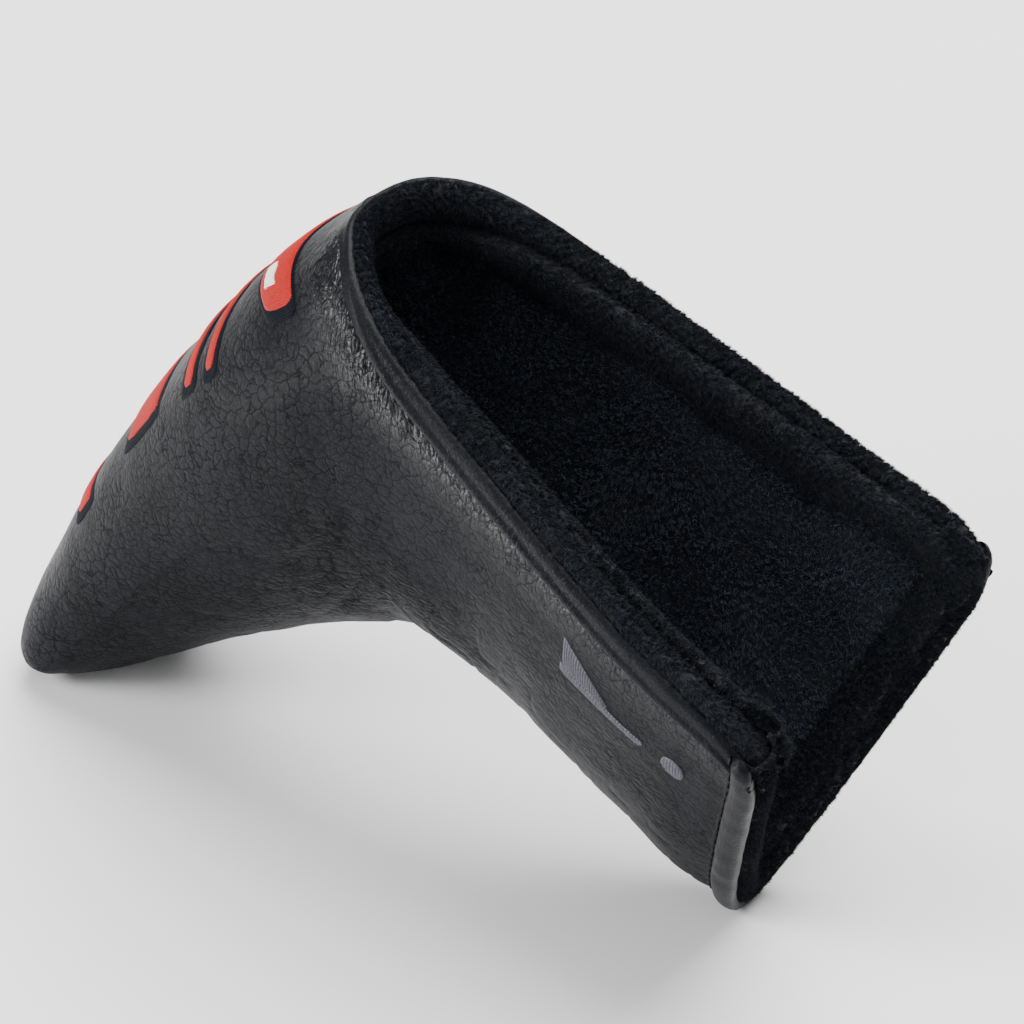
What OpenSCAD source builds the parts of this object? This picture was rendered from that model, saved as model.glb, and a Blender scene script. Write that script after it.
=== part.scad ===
// Head cover for a blade putter: a padded leather boot with a long open neck.
// It stands on its toe tip and on the low corner of the neck, mouth upward.
// Millimetres, +Z up. X runs from the toe to the neck end, Y is the thickness.

/* [Outline] */
// Length of the foot, from the heel side rim to the toe tip
foot_len = 128; // [115:1:145]
// Length of the neck, from the sole line to the low neck corner
neck_len = 132; // [115:1:150]
// Depth of the neck, from its fold to its rim
neck_w = 64; // [56:1:72]
// Distance between the two rims at the neck end, outside
mouth_w = 78; // [60:1:90]
// Fullness of the padded foot, as a share of the default
foot_full = 1; // [0.85:0.01:1.15]

/* [Layers] */
// Thickness of the leather
leather_t = 1.4; // [1:0.1:2]
// Thickness of the foam padding
foam_t = 3; // [2:0.1:4]
// Thickness of the plush lining with its pile
plush_t = 5; // [3:0.1:6]

/* [Edges] */
// Width of the rolled leather edge along the rim
roll_w = 2.5; // [2:0.1:4]
// Height of the rolled edge above the leather
roll_up = 0.6; // [0.3:0.1:1]
// Width of the plush binding inside the rim
band_w = 7.5; // [5:0.5:10]
// Depth of the plush binding, measured from the leather surface
band_in = 7.6; // [6:0.1:9]
// Width of the leather hem around the neck end, as a share of a section step
hem_w = 0.17; // [0.12:0.01:0.3]
// Height of the hem above the leather
hem_up = 0.8; // [0.4:0.1:1.2]

/* [Flaps] */
// Section at which the bending neck flaps begin
flap_from = 7.35; // [7:0.05:8]
// Share of the neck depth below the flaps that stays still
fold_share = 0.17; // [0.12:0.01:0.25]
// Diameter of a closure magnet
magnet_d = 14; // [10:1:18]
// Thickness of a closure magnet
magnet_t = 2; // [1.5:0.1:3]

/* [Embroidery] */
// Height of the satin stitching
thread_up = 0.6; // [0.4:0.1:1.2]
// Width of the dark border around each sole bar, as a share of a section step
border = 0.06; // [0.03:0.01:0.1]

/* [Hidden] */

function kp(p) = p <= 64 ? p * neck_w / 64 : neck_w + (p - 64) * (foot_len - neck_w) / 64;
kq = neck_len / 132;
ky = mouth_w / 78;
// Each section line crosses the cover from the fold to the sole or the rim.
// In the cover's own plane p is the distance toward the toe and q the distance up the neck.
// Fields: fold p, fold q, outer p, outer q, fullness, closure, roundness of the fold.
function line(pi, qi, po, qo, g, c, e) = [kp(pi), qi * kq, kp(po), qo * kq, g * g, c, e];
SECTIONS = [
  line(127, 22, 128, 17, 0, 1.03, 1),                             // toe tip
  line(118, 26.5, 130.4, 3, 33 * foot_full, 1.03, 1),
  line(100, 36, 103.8, -1.9, 35.5 * foot_full, 1.03, 1),
  line(84, 46, 69, -2.2, 38 * foot_full, 1.03, 1),
  line(72, 55, 34.3, 1.1, 42 * foot_full, 1.03, 1),
  line(66, 61, 10.9, 6.9, 43 * foot_full, 1.03, 0.95),               // last closed section
  line(65, 69, 1.5, 13.4, 41.5 * foot_full, 0.93, 0.85),           // closed end of the mouth
  line(64, 82, 1.5, 40, 36.5 * ky, 0.44, 0.75),
  line(64.5, 102, 1, 88, 38.5 * ky, 0.14, 0.6),
  line(62, 132, -2, 124, 39 * ky, 0, 0.5),                     // neck end
];
last = len(SECTIONS) - 1;
in_foam = leather_t + foam_t;
in_all = in_foam + plush_t;
hem_at = last - hem_w;
flap_low = fold_share + 0.016;
flap_start = flap_from + 0.02;

// Stance: the toe tip and the low neck corner touch the ground together.
lean = atan((kp(127) - kp(62) - hem_up) / ((132 - 22) * kq));
flat_cut = 0.8;
drop = 22 * kq * sin(lean) + kp(127) * cos(lean) - flat_cut;
shift_x = -23.1;

function blend(a, b, c, d, f) =
  (2 * b + (c - a) * f + (2 * a - 5 * b + 4 * c - d) * f * f + (3 * b - a - 3 * c + d) * f * f * f) / 2;
function pick(i) =
  i < 0 ? 2 * SECTIONS[0] - SECTIONS[1] :
  i > last ? 2 * SECTIONS[last] - SECTIONS[last - 1] : SECTIONS[i];
function raw_section(u) =
  let (i = max(0, min(last - 1, floor(u))))
  blend(pick(i - 1), pick(i), pick(i + 1), pick(i + 2), u - i);
function section(u) =
  let (s = raw_section(u))
  [s[0], s[1], s[2], s[3], s[4], min(s[5], 1), s[6]];

// Square of the half thickness at a share r of the way from the fold.
function swell(s, r) = s[4] * (r * r + 2 * s[6] * r) / (1 + 2 * s[6]) * (1 - s[5] * r * r * r);
function across(s) = [s[2] - s[0], s[3] - s[1]];
function spot(s, r) = [s[0], s[1]] + across(s) * r;
function half_t(u, r) = sqrt(max(0, swell(section(u), r)));

// Slope of the squared thickness over the cover's plane: it gives the surface direction.
function slope(u, r) =
  let (
    v = max(u, 0.02),
    w = max(0.02, min(0.98, r)),
    s = section(v),
    a = section(v + 0.01),
    b = section(v - 0.01),
    fu = (swell(a, w) - swell(b, w)) / 0.02,
    pu = (spot(a, w) - spot(b, w)) / 0.02,
    fr = (swell(s, w + 0.01) - swell(s, w - 0.01)) / 0.02,
    pr = across(s),
    det = pu.x * pr.y - pu.y * pr.x,
    g = [(fu * pr.y - fr * pu.y) / det, (pu.x * fr - pr.x * fu) / det],
    e = pr / norm(pr)
  )
  abs(u - flap_from) < 0.1 || u > last - 0.05 ? e * (g * e) : g;

// Direction into the padding: square to the surface, turned toward a core at the
// toe and at the heel corner, where square offsets of the thick layers would cross.
toe_core = [kp(98), 18 * kq];
heel_core = [kp(30), 32 * kq];
function unit(v) = v / norm(v);
function smooth(x) = let (t = max(0, min(1, x))) t * t * (3 - 2 * t);
function toward(c, p, y) = unit([c.x - p.x, c.y - p.y, -y]);
function mixed(a, b, w) = unit(a * (1 - w) + b * w);
function inward(u, p, y, g) =
  let (
    toe = mixed(unit([g.x, g.y, -2 * y]), toward(toe_core, p, y), smooth((2.6 - u) / 1.8)),
    w = 0.8 * smooth((u - 4.2) / 0.8) * smooth((6.7 - u) / 0.8)
  )
  mixed(toe, toward(heel_core, p, y), w);

// A point of the layer at depth d, in the cover's own plane, with its half thickness.
function layer(u, r, d) =
  let (
    s = section(u),
    y = sqrt(max(0, swell(s, r))),
    p = spot(s, r),
    v = inward(u, p, y, slope(u, r))
  )
  [p.x + d * v.x, p.y + d * v.y, max(0, y + d * v.z), y + d * v.z];

// The same point on one side, standing on the ground plane.
function skin(u, r, d, side = 1) =
  let (v = layer(u, r, d), floor_z = max(0, u > 5 ? d + hem_up : d))
  [
    v.y * cos(lean) - v.x * sin(lean) + shift_x,
    side * v.z,
    max(floor_z, drop - v.y * sin(lean) - v.x * cos(lean)),
  ];

// First share r at which a deep layer leaves the middle plane at the fold.
function fold_search(u, d, a, b, k) =
  k == 0 ? b :
  let (m = (a + b) / 2)
  layer(u, m, d)[3] > 0 ? fold_search(u, d, a, m, k - 1) : fold_search(u, d, m, b, k - 1);
function fold_edge(u, d) =
  layer(u, 0.01, d)[3] >= 0 ? 0 : fold_search(u, d, 0.01, 0.45, 14);

// Section where the mouth closes, and the share r that lies h below the rim.
function close_search(a, b, k) =
  k == 0 ? a :
  let (m = (a + b) / 2)
  raw_section(m)[5] < 1 ? close_search(a, m, k - 1) : close_search(m, b, k - 1);
mouth_at = close_search(5.2, 6, 14);
function rim_spot(u) = spot(section(u), 1);
function rim_reach(u, h) =
  let (k = u >= mouth_at ? 0 : norm(rim_spot(u) - rim_spot(mouth_at)))
  k >= h ? 0 : sqrt(h * h - k * k);
function chord(u, f) = norm([half_t(u, 1 - f) - half_t(u, 1), f * norm(across(section(u)))]);
function below_search(u, h, a, b, k) =
  k == 0 ? a :
  let (m = (a + b) / 2)
  chord(u, m) < h ? below_search(u, h, m, b, k - 1) : below_search(u, h, a, m, k - 1);
function below_rim(u, h) =
  let (x = rim_reach(u, h))
  x < 0.15 * h ? 1 : 1 - below_search(u, x, 0, 0.45, 14);

function ease(t) = sin(90 * t);
foot_rows = [0, 0.15, 0.5, 1, 1.6, 2.3, 3, 3.7, 4.3, 4.7];
heel_rows = [5, 5.2, 5.38, 5.52, mouth_at, 5.85, 6.1, 6.5, 7, flap_from];
neck_rows = [7.7, 8.05, 8.4, hem_at];
end_rows = [hem_at, hem_at + hem_w / 2, last];
flap_rows = [flap_start, 7.7, 8.05, 8.4, hem_at];
flap_full = concat(flap_rows, [last]);
root_rows = concat(foot_rows, heel_rows, neck_rows);
cup_count = len(foot_rows) + len(heel_rows) - 1;

// Side walls of a shell between neighbouring grid corners a and b; k is the other depth.
function wall(a, b, k) = [[b, a, a + k], [b, a + k, b + k]];
function turned(f, s) = s == 0 ? f : [f[0], f[2], f[1]];

// One closed shell that covers both sides of the cover.
// The sides share their points at the fold, at the toe and where the section is closed.
module wrap(rows, nj, d1, d2, share, live, fold_joined) {
  ni = len(rows) - 1;
  m = nj + 1;
  n = (ni + 1) * m;
  k = 2 * n;
  pts = [
    for (d = [d1, d2]) for (s = [1, -1]) for (i = [0:ni]) for (j = [0:nj])
      skin(rows[i], share(rows[i], j, d), d, s)
  ];
  meet = [for (i = [0:ni]) half_t(rows[i], share(rows[i], nj, 0)) < 0.001];
  at = function(s, i, j)
    i * m + j + (s == 0 || rows[i] == 0 || (fold_joined && j == 0) || (meet[i] && j == nj) ? 0 : n);
  skins = [
    for (s = [0, 1]) for (i = [0:ni - 1]) for (j = [0:nj - 1])
      if (live(i, j)) for (t = [
        [at(s, i, j), at(s, i + 1, j), at(s, i + 1, j + 1)],
        [at(s, i, j) + k, at(s, i + 1, j + 1) + k, at(s, i + 1, j) + k],
      ]) turned(t, s),
    for (s = [0, 1]) for (i = [0:ni - 1]) for (j = [0:nj - 1])
      if (live(i, j) && !(rows[i] == 0 && j == nj - 1 && meet[i + 1])) for (t = [
        [at(s, i, j), at(s, i + 1, j + 1), at(s, i, j + 1)],
        [at(s, i, j) + k, at(s, i, j + 1) + k, at(s, i + 1, j + 1) + k],
      ]) turned(t, s)
  ];
  low = [
    for (s = [0, 1]) for (i = [0:ni - 1]) if (!fold_joined && live(i, 0))
      for (t = wall(at(s, i, 0), at(s, i + 1, 0), k)) turned(t, s)
  ];
  high = [
    for (s = [0, 1]) for (i = [0:ni - 1]) for (j = [1:nj])
      if (live(i, j - 1) && (j == nj ? !(meet[i] && meet[i + 1]) : !live(i, j)))
        for (t = wall(at(s, i + 1, j), at(s, i, j), k)) turned(t, s)
  ];
  start = [
    for (s = [0, 1]) for (j = [0:nj - 1]) if (rows[0] > 0 && live(0, j))
      for (t = wall(at(s, 0, j + 1), at(s, 0, j), k)) turned(t, s)
  ];
  finish = [
    for (s = [0, 1]) for (i = [1:ni]) for (j = [0:nj - 1])
      if (live(i - 1, j) && (i == ni || !live(i, j)))
        for (t = wall(at(s, i, j), at(s, i, j + 1), k)) turned(t, s)
  ];
  polyhedron(pts, concat(skins, low, high, start, finish));
}

// One closed shell on one side; at(i, j) gives the section and the share.
module panel(ni, nj, d1, d2, at) {
  pts = [
    for (d = [d1, d2]) for (i = [0:ni]) for (j = [0:nj])
      let (w = at(i, j)) skin(w[0], w[1], d)
  ];
  m = nj + 1;
  k = (ni + 1) * m;
  skins = [
    for (i = [0:ni - 1]) for (j = [0:nj - 1]) let (a = i * m + j)
      for (t = [
        [a, a + m, a + m + 1], [a, a + m + 1, a + 1],
        [a + k, a + m + 1 + k, a + m + k], [a + k, a + 1 + k, a + m + 1 + k],
      ]) t
  ];
  sides = [
    for (i = [0:ni - 1]) for (t = concat(
      wall(i * m, i * m + m, k), wall(i * m + m + nj, i * m + nj, k))) t
  ];
  ends = [
    for (j = [0:nj - 1]) for (t = concat(
      wall(j + 1, j, k), wall(ni * m + j, ni * m + j + 1, k))) t
  ];
  polyhedron(pts, concat(skins, sides, ends));
}

// ---- still pieces: the foot, the closed heel end and the fold of the neck ----

fold_cols = 3;
function cup_share(h, nj) = function(u, j, d)
  let (a = fold_edge(u, d), b = below_rim(u, h))
  j <= fold_cols ? a + (fold_share - a) * j / fold_cols :
  fold_share + (b - fold_share) * ease((j - fold_cols) / (nj - fold_cols));

module cup(nj, d1, d2, h) {
  wrap(root_rows, nj, d1, d2, cup_share(h, nj),
    function(i, j) i < cup_count || j < fold_cols, true);
}

module heel_edge(h, d1, d2, nj) {
  rows = [for (u = heel_rows) if (below_rim(u, h) < 0.9999) u];
  wrap(rows, nj, d1, d2,
    function(u, j, d) let (b = below_rim(u, h)) b + (1 - b) * ease(j / nj),
    function(i, j) true, false);
}

module fold_end(d1, d2) {
  wrap(end_rows, fold_cols, d1, d2,
    function(u, j, d) let (a = fold_edge(u, d)) a + (fold_share - a) * j / fold_cols,
    function(i, j) true, true);
}

module cup_leather() {
  color("#1b1c1f") cup(14, 0, leather_t, roll_w);
}

module cup_foam() {
  color("#6d6f74") cup(12, leather_t, in_foam, band_w);
}

module cup_lining() {
  color("#101217") cup(12, in_foam, in_all, band_w);
}

module heel_roll() {
  color("#222327") heel_edge(roll_w, -roll_up, leather_t, 2);
}

module heel_band() {
  color("#161a21") heel_edge(band_w, leather_t, band_in, 4);
}

module fold_hem() {
  color("#222327") fold_end(-hem_up, leather_t);
}

module fold_end_band() {
  color("#161a21") fold_end(leather_t, band_in);
}

// ---- embroidery on the sole ----
// Fields: first section, last section, lean per share, reach from the sole line.
BARS = [
  [4.26, 4.7, 5.5, 0.1],
  [3.97, 4.07, 0.5, 0.13],
  [3.7, 3.8, 0.5, 0.125],
  [3, 3.38, 0.2, 0.1],
  [2.33, 2.5, 0.4, 0.115],
];

module sole_patch(u1, u2, tilt, reach, d1, d2) {
  ni = 4;
  nj = 4;
  pts = [
    for (d = [d1, d2]) for (i = [0:ni]) for (j = [-nj:nj])
      let (f = reach * pow(abs(j) / nj, 2))
      skin(u1 + (u2 - u1) * i / ni + tilt * f, 1 - f, d, j < 0 ? -1 : 1)
  ];
  m = 2 * nj + 1;
  k = (ni + 1) * m;
  skins = [
    for (i = [0:ni - 1]) for (j = [0:2 * nj - 1]) let (a = i * m + j)
      for (t = [
        [a, a + m + 1, a + m], [a, a + 1, a + m + 1],
        [a + k, a + m + k, a + m + 1 + k], [a + k, a + m + 1 + k, a + 1 + k],
      ]) t
  ];
  sides = [
    for (i = [0:ni - 1]) for (t = concat(
      wall(i * m + m, i * m, k), wall(i * m + 2 * nj, i * m + m + 2 * nj, k))) t
  ];
  ends = [
    for (j = [0:2 * nj - 1]) for (t = concat(
      wall(j, j + 1, k), wall(ni * m + j + 1, ni * m + j, k))) t
  ];
  polyhedron(pts, concat(skins, sides, ends));
}

module sole_borders() {
  color("#10131c") for (b = BARS)
    sole_patch(b[0] - border, b[1] + border, b[2], b[3] + 0.012, -thread_up * 0.55, -0.08);
}

module sole_bars() {
  color("#c8281f") for (b = BARS)
    sole_patch(b[0], b[1], b[2], b[3], -thread_up, -thread_up * 0.55);
}

module sole_accent() {
  color("#e8e6e2") both()
    panel(2, 3, -thread_up - 0.35, -thread_up,
      function(i, j) let (r = 0.945 + 0.04 * j / 3) [4.34 + 0.1 * i / 2 + 5.5 * (1 - r), r]);
}

// ---- bending neck flaps ----

module both() {
  children();
  mirror([0, 1, 0]) children();
}

module back() {
  mirror([0, 1, 0]) children();
}

module flap_layer(rows, nj, d1, d2, low, high) {
  panel(len(rows) - 1, nj, d1, d2, function(i, j)
    let (u = rows[i], a = low(u), b = high(u)) [u, a + (b - a) * j / nj]);
}

from_flap = function(u) flap_low;
to_roll = function(u) below_rim(u, roll_w);
to_band = function(u) below_rim(u, band_w);
to_rim = function(u) 1;

// Sets its children on the outer surface at depth d, their Z pointing outward.
module on_skin(u, r, d) {
  o = skin(u, r, d);
  z = (skin(u, r, d - 1) - o) / norm(skin(u, r, d - 1) - o);
  t = skin(u, r + 0.02, d) - o;
  x = (t - z * (t * z)) / norm(t - z * (t * z));
  y = cross(z, x);
  multmatrix([
    [x.x, y.x, z.x, o.x],
    [x.y, y.y, z.y, o.y],
    [x.z, y.z, z.z, o.z],
    [0, 0, 0, 1],
  ]) children();
}

MAGNETS = [[7.95, 0.76], [8.5, 0.76]];

module flap_leather() {
  color("#1b1c1f") flap_layer(flap_rows, 8, 0, leather_t, from_flap, to_roll);
}

module flap_foam() {
  color("#6d6f74") difference() {
    flap_layer(flap_rows, 6, leather_t, in_foam, from_flap, to_band);
    for (m = MAGNETS) on_skin(m[0], m[1], in_foam + 2)
      cylinder(d = magnet_d + 0.8, h = foam_t + 4, $fn = 32);
  }
}

module flap_lining() {
  color("#101217") flap_layer(flap_rows, 7, in_foam, in_all, from_flap, to_band);
}

module flap_roll() {
  color("#222327") flap_layer(flap_rows, 2, -roll_up, leather_t, to_roll, to_rim);
}

module flap_band() {
  color("#161a21") flap_layer(flap_full, 3, leather_t, band_in, to_band, to_rim);
}

module flap_hem() {
  color("#222327") flap_layer(end_rows, 8, -hem_up, leather_t, from_flap, to_rim);
}

module flap_end_band() {
  color("#161a21") flap_layer(end_rows, 6, leather_t, band_in, from_flap, to_band);
}

module stitch(u, r) {
  on_skin(u, r, -0.5) rotate([0, 90, 0]) cylinder(d = 0.6, h = 2.4, center = true, $fn = 12);
}

module flap_hem_thread() {
  color("#0c0c0e") for (r = [0.25:0.06:0.95]) stitch(hem_at - 0.03, r);
}

module flap_magnets() {
  color("#b9bcc2") for (m = MAGNETS) on_skin(m[0], m[1], leather_t + (foam_t + magnet_t) / 2)
    cylinder(d = magnet_d, h = magnet_t, $fn = 48);
}

module fold_hem_thread() {
  color("#0c0c0e") both() for (r = [0.04, 0.11]) stitch(hem_at - 0.03, r);
}

module back_leather() { back() flap_leather(); }
module back_foam() { back() flap_foam(); }
module back_lining() { back() flap_lining(); }
module back_roll() { back() flap_roll(); }
module back_band() { back() flap_band(); }
module back_hem() { back() flap_hem(); }
module back_end_band() { back() flap_end_band(); }
module back_hem_thread() { back() flap_hem_thread(); }
module back_magnets() { back() flap_magnets(); }
module front_leather() { flap_leather(); }
module front_foam() { flap_foam(); }
module front_lining() { flap_lining(); }
module front_roll() { flap_roll(); }
module front_band() { flap_band(); }
module front_hem() { flap_hem(); }
module front_end_band() { flap_end_band(); }
module front_hem_thread() { flap_hem_thread(); }
module front_magnets() { flap_magnets(); }

// Small grey flag and ball on the back flap.
module back_mark() {
  color("#9a9aa2") back() {
    panel(6, 1, -0.7, -0.08, function(i, j) [7.82 + 0.52 * i / 6, 0.655 + 0.022 * j]);
    panel(3, 3, -0.7, -0.08, function(i, j)
      [7.85 + 0.25 * i / 3, 0.685 + (0.012 + 0.11 * (1 - i / 3)) * j / 3]);
    on_skin(8.53, 0.68, -0.1) cylinder(d = 5, h = 0.6, $fn = 32);
  }
}

cup_leather();
cup_foam();
cup_lining();
heel_roll();
heel_band();
fold_hem();
fold_end_band();
fold_hem_thread();
sole_borders();
sole_bars();
sole_accent();
back_leather();
back_foam();
back_lining();
back_roll();
back_band();
back_hem();
back_end_band();
back_hem_thread();
back_magnets();
back_mark();
front_leather();
front_foam();
front_lining();
front_roll();
front_band();
front_hem();
front_end_band();
front_hem_thread();
front_magnets();
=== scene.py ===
"""Putter head cover: padded leather outside, plush inside, embroidery on the sole and the neck."""

import itertools
import math

import bpy
import numpy as np
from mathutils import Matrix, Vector


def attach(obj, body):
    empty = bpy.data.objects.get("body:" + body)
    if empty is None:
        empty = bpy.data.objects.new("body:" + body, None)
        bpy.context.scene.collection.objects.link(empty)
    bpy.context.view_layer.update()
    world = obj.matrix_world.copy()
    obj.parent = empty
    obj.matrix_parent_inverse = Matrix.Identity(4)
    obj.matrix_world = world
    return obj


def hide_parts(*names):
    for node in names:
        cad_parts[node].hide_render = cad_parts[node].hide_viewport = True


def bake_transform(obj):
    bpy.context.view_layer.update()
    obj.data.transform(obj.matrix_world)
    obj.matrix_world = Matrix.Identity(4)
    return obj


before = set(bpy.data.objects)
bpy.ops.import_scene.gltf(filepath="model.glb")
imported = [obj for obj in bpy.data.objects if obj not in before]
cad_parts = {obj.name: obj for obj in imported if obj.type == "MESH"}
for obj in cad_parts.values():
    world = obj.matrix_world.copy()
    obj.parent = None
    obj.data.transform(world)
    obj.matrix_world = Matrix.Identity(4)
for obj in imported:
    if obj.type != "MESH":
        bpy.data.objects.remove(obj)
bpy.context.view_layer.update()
MM = 0.001
SIDES = {"back": -1, "front": 1}

# ---- the shape, in millimetres, with the driving dimensions of the CAD ----

# Fold point, outer point (both in the cover's own plane), fullness, closure, roundness of the fold.
SECTIONS = [
    (127, 22, 128, 17, 0, 1.03, 1),
    (118, 26.5, 130.4, 3, 33, 1.03, 1),
    (100, 36, 103.8, -1.9, 35.5, 1.03, 1),
    (84, 46, 69, -2.2, 38, 1.03, 1),
    (72, 55, 34.3, 1.1, 42, 1.03, 1),
    (66, 61, 10.9, 6.9, 43, 1.03, 0.95),
    (65, 69, 1.5, 13.4, 41.5, 0.93, 0.85),
    (64, 82, 1.5, 40, 36.5, 0.44, 0.75),
    (64.5, 102, 1, 88, 38.5, 0.14, 0.6),
    (62, 132, -2, 124, 39, 0, 0.5),
]
TOE_FOLD, NECK_FOLD = SECTIONS[0][:2], SECTIONS[-1][:2]
LAST = len(SECTIONS) - 1
HEM = LAST - 0.17
# Depths of the inner faces of the leather, the foam and the lining.
LEATHER, IN_FOAM, IN_ALL = 1.4, 4.4, 9.4
# The lining's depth lines meet in these points of the cover's plane, at the toe and at the closed heel end.
TOE_CORE, HEEL_CORE = (98, 18), (30, 32)
HEM_UP, FLAT_CUT = 0.8, 0.8
# The cover stands on its toe and on the low corner of its neck, so it leans by this angle.
LEAN = math.atan((TOE_FOLD[0] - NECK_FOLD[0] - HEM_UP) / (NECK_FOLD[1] - TOE_FOLD[1]))
DROP = TOE_FOLD[1] * math.sin(LEAN) + TOE_FOLD[0] * math.cos(LEAN) - FLAT_CUT
SHIFT_X = -23.1
MAGNETS = ((7.95, 0.76), (8.5, 0.76))
# The sections as a table, with the fullness squared and one more row at each end for the curve through them.
TABLE = np.array(SECTIONS, float)
TABLE[:, 4] **= 2
TABLE = np.vstack([2 * TABLE[0] - TABLE[1], TABLE, 2 * TABLE[-1] - TABLE[-2]])


def raw_section(u):
    """The table's row at section u, from 0 at the toe to LAST at the neck end, on a smooth curve."""
    i = np.clip(np.floor(u).astype(int), 0, LAST - 1)
    f = (u - i)[..., None]
    a, b, c, d = TABLE[i], TABLE[i + 1], TABLE[i + 2], TABLE[np.minimum(i + 3, LAST + 2)]
    return (2 * b + (c - a) * f + (2 * a - 5 * b + 4 * c - d) * f**2 + (3 * b - a - 3 * c + d) * f**3) / 2


def section(u):
    """The same row, with its closure at 1 where both sides have met."""
    s = raw_section(u).copy()
    s[..., 5] = np.minimum(s[..., 5], 1)
    return s


def swell(s, r):
    """Square of the half thickness at a share r of the way from the fold."""
    return s[..., 4] * (r * r + 2 * s[..., 6] * r) / (1 + 2 * s[..., 6]) * (1 - s[..., 5] * r**3)


def unit(v):
    return v / np.maximum(np.linalg.norm(v, axis=-1, keepdims=True), 1e-9)


def smooth(x):
    """0 below 0, 1 above 1 and a soft step between."""
    t = np.clip(x, 0, 1)
    return t * t * (3 - 2 * t)


def spot(s, r):
    """The point of the cover's plane at a share r of the way from the fold."""
    return s[..., 0:2] + (s[..., 2:4] - s[..., 0:2]) * r[..., None]


def slope(u, r):
    """Slope of the squared thickness over the cover's plane."""
    v, w = np.maximum(u, 0.02), np.clip(r, 0.02, 0.98)
    s, a, b = section(v), section(v + 0.01), section(v - 0.01)
    fu = (swell(a, w) - swell(b, w)) / 0.02
    pu = (spot(a, w) - spot(b, w)) / 0.02
    fr = (swell(s, w + 0.01) - swell(s, w - 0.01)) / 0.02
    pr = s[..., 2:4] - s[..., 0:2]
    det = pu[..., 0] * pr[..., 1] - pu[..., 1] * pr[..., 0]
    g = np.stack([fu * pr[..., 1] - fr * pu[..., 1], pu[..., 0] * fr - pr[..., 0] * fu], -1) / det[..., None]
    along = unit(pr)
    end = smooth((u - 8.5) / 0.4)[..., None]
    return g * (1 - end) + along * (g * along).sum(-1, keepdims=True) * end


def layer(u, r, d):
    """Points at depth d under the leather's face, in the cover's plane (p, q) and off it (y)."""
    u, r, d = np.broadcast_arrays(*(np.asarray(x, float) for x in (u, r, d)))
    s = section(u)
    y = np.sqrt(np.maximum(swell(s, r), 0))
    p = spot(s, r)
    n = unit(np.concatenate([slope(u, r), -2 * y[..., None]], -1))
    toe = smooth((2.6 - u) / 1.8)
    heel = 0.8 * smooth((u - 4.2) / 0.8) * smooth((6.7 - u) / 0.8)
    for share, core in ((toe, TOE_CORE), (heel, HEEL_CORE)):
        to_core = unit(np.stack([core[0] - p[..., 0], core[1] - p[..., 1], -y], -1))
        n = unit(n * (1 - share[..., None]) + to_core * share[..., None])
    return np.concatenate([p, y[..., None]], -1) + d[..., None] * n


def stand(v, side):
    """From the cover's own plane to the row frame."""
    x = v[..., 1] * math.cos(LEAN) - v[..., 0] * math.sin(LEAN) + SHIFT_X
    z = DROP - v[..., 1] * math.sin(LEAN) - v[..., 0] * math.cos(LEAN)
    return np.stack([x, side * v[..., 2], z], -1)


def turn(v, side):
    """A direction, from the cover's own plane to the row frame."""
    return stand(v, side) - stand(np.zeros(3), side)


def out_of(u, r, side):
    """Unit direction out of the leather's face, in the row frame."""
    return -unit(turn(layer(u, r, 1) - layer(u, r, 0), side))


def skin(u, r, d, side):
    """Points at depth d in the row frame, where the two sides don't cross."""
    v = layer(u, r, d)
    v[..., 2] = np.maximum(v[..., 2], 0)
    return stand(v, side)


def mouth_end():
    """Section where the two rims meet."""
    u = np.linspace(5.2, 6, 4001)
    return float(u[np.argmax(raw_section(u)[:, 5] < 1)])


MOUTH = mouth_end()


def run_of(line):
    """How far along a line of points each of them is."""
    return np.concatenate([[0], np.cumsum(np.linalg.norm(np.diff(line, axis=0), axis=1))])


def evenly(line, n):
    """n evenly spaced points along a line of points."""
    run = run_of(line)
    at = run[-1] * np.linspace(0, 1, n)
    return np.stack([np.interp(at, run, line[:, k]) for k in range(line.shape[1])], -1)


def soften(points):
    """Pulls the corners between the rim and the neck end back, so that they are round."""
    for side, pull, tip in ((-1, 2.6, 0.0), (1, 2.8, 1.4)):
        corner = skin(LAST, 1.0, 3.0, side)
        inner = skin(LAST - 0.35, 0.82, 3.0, side)
        gap = ((points - corner) ** 2).sum(-1)
        amount = pull * np.exp(-gap / 50) + tip * np.exp(-gap / 14)
        points = points + unit(inner - corner) * amount[..., None]
    return points


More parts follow.
